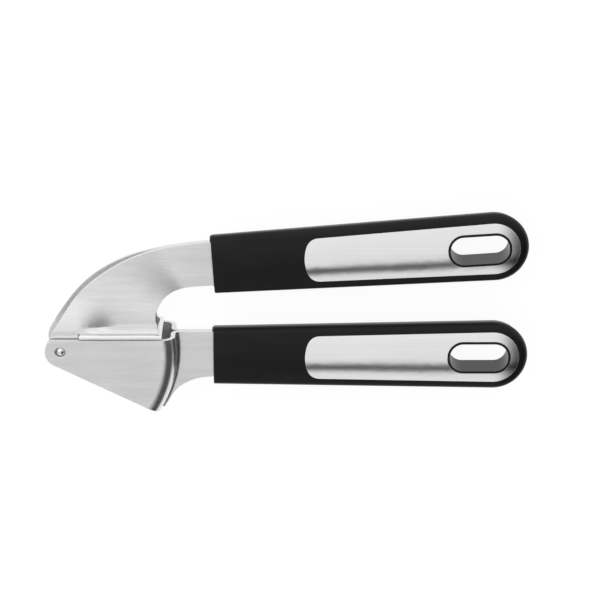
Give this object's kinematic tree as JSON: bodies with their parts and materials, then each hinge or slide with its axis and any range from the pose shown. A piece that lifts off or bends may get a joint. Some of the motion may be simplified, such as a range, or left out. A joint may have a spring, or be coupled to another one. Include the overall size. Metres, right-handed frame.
{
  "type": "garlic press",
  "caption": "Hand-held garlic press with a hinged upper arm, a wedge-shaped pressing chamber with a sieve, and slotted black handles with steel inlays.",
  "frame": {"origin": "bottom centre of the bounding box, with the press lying on its side and the arms closed", "axes": "+X from the pivot towards the handle ends, +Y from the lower handle to the upper one, +Z along the pivot pin"},
  "size_m": [0.1984, 0.0844, 0.0255],
  "materials": {
    "frame_steel": "fine brushed along the handles",
    "plunger_steel": "satin",
    "sieve_steel": "satin",
    "pin_steel": "polished",
    "inlay_steel": "polished with faint brushing",
    "grip_black": "satin, fine grain",
    "core_black": "satin",
    "liner_black": "semi-gloss"
  },
  "bodies": {
    "lower_arm": {"lower_frame_front": "frame_steel", "lower_frame_back": "frame_steel", "sieve_plate": "sieve_steel", "pivot_pin": "pin_steel", "lower_handle_core": "core_black", "lower_grip": "grip_black", "lower_inlay": "inlay_steel", "lower_slot_liner": "liner_black", "lower_tang_rivets": "pin_steel"},
    "upper_arm": {"upper_frame_front": "frame_steel", "upper_frame_back": "frame_steel", "pivot_sleeve": "pin_steel", "plunger_cup": "plunger_steel", "plunger_lid": "plunger_steel", "upper_handle_core": "core_black", "upper_grip": "grip_black", "upper_inlay": "inlay_steel", "upper_slot_liner": "liner_black", "upper_tang_rivets": "pin_steel"}
  },
  "joints": [
    {"name": "press_hinge", "type": "hinge", "parent": "lower_arm", "child": "upper_arm", "pos_m": [-0.09289, -0.01437, 0.01275], "axis": [0, 0, 1], "range_deg": [0, 110]}
  ]
}
